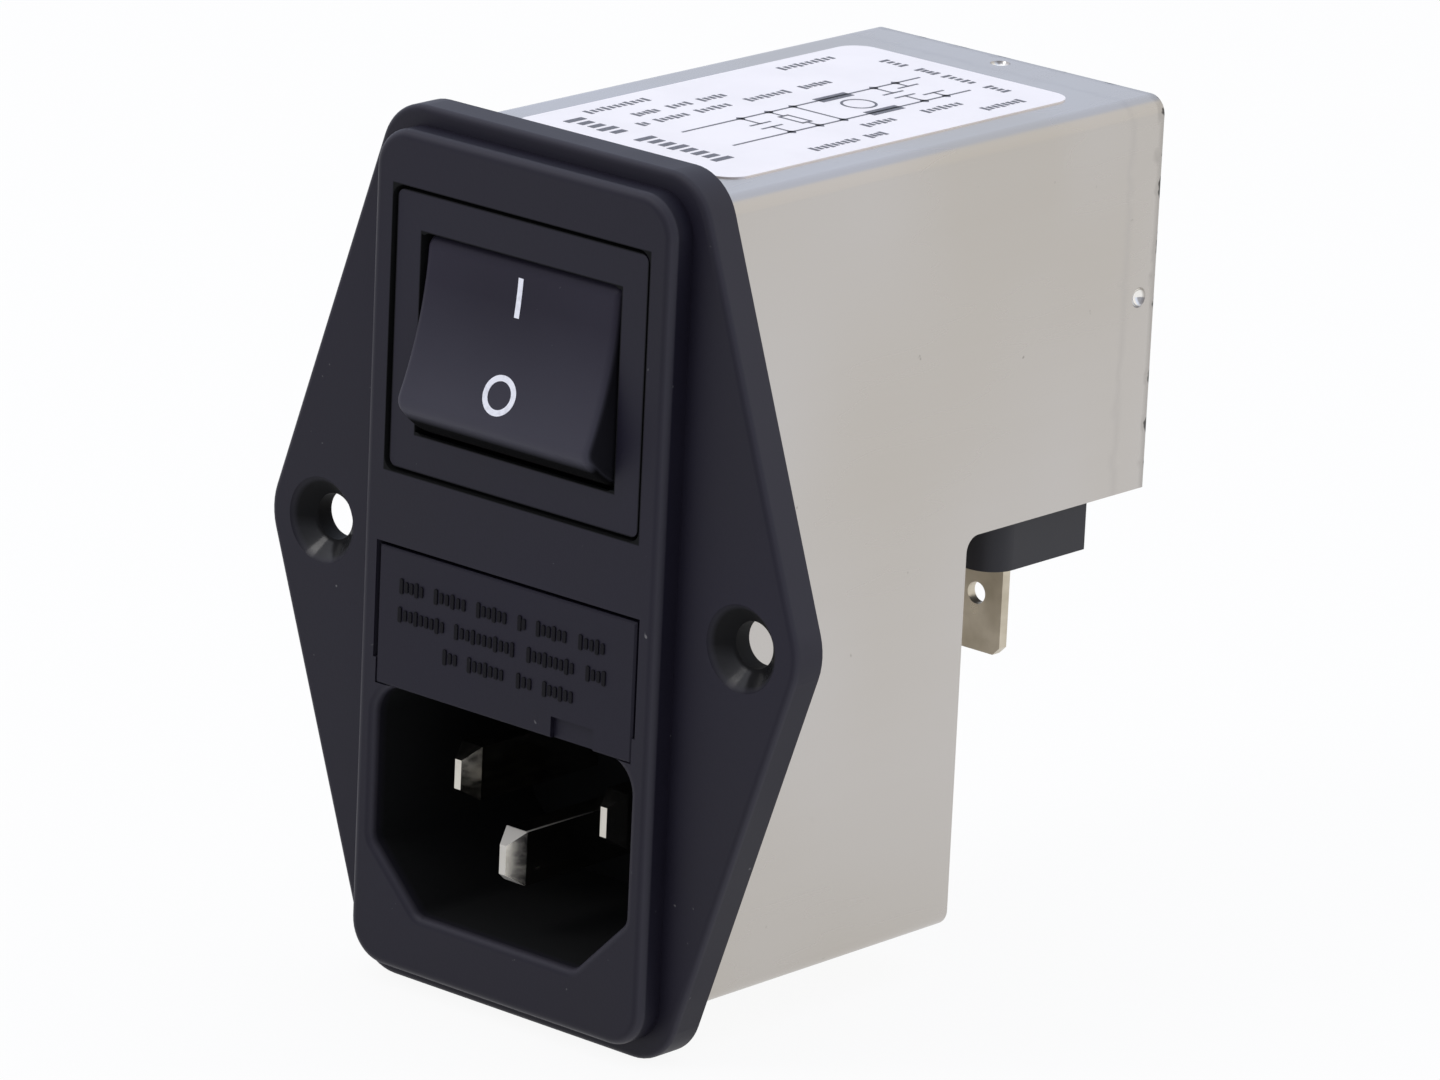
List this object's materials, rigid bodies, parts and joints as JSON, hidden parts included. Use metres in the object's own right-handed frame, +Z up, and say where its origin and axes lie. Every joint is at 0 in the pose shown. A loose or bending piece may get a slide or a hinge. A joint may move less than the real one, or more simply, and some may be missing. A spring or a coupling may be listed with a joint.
{
  "type": "panel-mount power entry module",
  "caption": "Panel-mount mains power entry module: diamond flange with rocker switch, fuse drawer and C14 inlet, and a stepped sheet-metal filter can behind with blade tabs.",
  "frame": {"origin": "on the panel plane, the back of the flange, midway between the two screw holes", "axes": "front faces -Y, +X to the right seen from the front, +Z up"},
  "size_m": [0.05, 0.0552, 0.0642],
  "materials": {
    "front_plastic": "fine satin moulded thermoplastic, bluish black",
    "switch_plastic": "satin moulded thermoplastic, bluish black",
    "rocker_plastic": "satin moulded thermoplastic, bluish black",
    "terminal_plastic": "matt moulded thermoplastic, black",
    "plated_sheet": "tinned steel sheet with a soft sheen",
    "label_film": "matt white label film",
    "nickel_pins": "nickel-plated, polished",
    "tinned_tabs": "tin-plated brass, dull",
    "contact_brass": "spring brass",
    "fuse_glass": "clear tube",
    "nickel_caps": "nickel-plated",
    "plunger_plastic": "natural low-friction plastic",
    "spring_steel": "bright spring wire",
    "board_laminate": "bare paper laminate",
    "ferrite": "dull sintered ferrite",
    "enamelled_wire": "enamelled copper wire",
    "capacitor_box": "grey box, resin filled",
    "capacitor_disc": "blue lacquered disc",
    "resistor_body": "lacquered film resistor"
  },
  "bodies": {
    "module": {"front_moulding": "front_plastic", "earth_pin": "nickel_pins", "line_pin": "nickel_pins", "line_front_leaf_contact": "contact_brass", "line_rear_leaf_contact": "contact_brass", "line_pivot_terminal": "contact_brass", "line_load_terminal": "contact_brass", "line_choke_winding": "enamelled_wire", "line_y_capacitor": "capacitor_disc", "line_tab": "tinned_tabs", "neutral_pin": "nickel_pins", "neutral_front_leaf_contact": "contact_brass", "neutral_rear_leaf_contact": "contact_brass", "neutral_pivot_terminal": "contact_brass", "neutral_load_terminal": "contact_brass", "neutral_choke_winding": "enamelled_wire", "neutral_y_capacitor": "capacitor_disc", "neutral_tab": "tinned_tabs", "switch_frame": "switch_plastic", "filter_can": "plated_sheet", "rear_cover": "plated_sheet", "label": "label_film", "terminal_block": "terminal_plastic", "earth_tab": "tinned_tabs", "circuit_board": "board_laminate", "choke_core": "ferrite", "x_capacitor": "capacitor_box", "bleed_resistor": "resistor_body", "earth_strap": "contact_brass"},
    "rocker": {"rocker": "rocker_plastic", "line_plunger": "plunger_plastic", "line_plunger_spring": "spring_steel", "neutral_plunger": "plunger_plastic", "neutral_plunger_spring": "spring_steel"},
    "rocking_contacts": {"line_rocking_contact": "contact_brass", "neutral_rocking_contact": "contact_brass"},
    "fuse_drawer": {"fuse_drawer": "front_plastic", "line_fuse_glass": "fuse_glass", "line_fuse_wire": "nickel_caps", "line_fuse_front_cap": "nickel_caps", "line_fuse_rear_cap": "nickel_caps", "neutral_fuse_glass": "fuse_glass", "neutral_fuse_wire": "nickel_caps", "neutral_fuse_front_cap": "nickel_caps", "neutral_fuse_rear_cap": "nickel_caps"}
  },
  "joints": [
    {"name": "rocker_tip", "type": "hinge", "parent": "module", "child": "rocker", "pos_m": [0, -0.001, 0.01643], "axis": [1, 0, 0], "range_deg": [0, 28]},
    {"name": "contact_tip", "type": "hinge", "parent": "module", "child": "rocking_contacts", "pos_m": [0, 0.0094, 0.01643], "axis": [1, 0, 0], "range_deg": [-16, 0]},
    {"name": "drawer_slide", "type": "slide", "parent": "module", "child": "fuse_drawer", "axis": [0, -1, 0], "range_m": [0, 0.03]}
  ],
  "couplings": [
    {"joint": "contact_tip", "follows": "rocker_tip", "ratio": -0.57143}
  ]
}
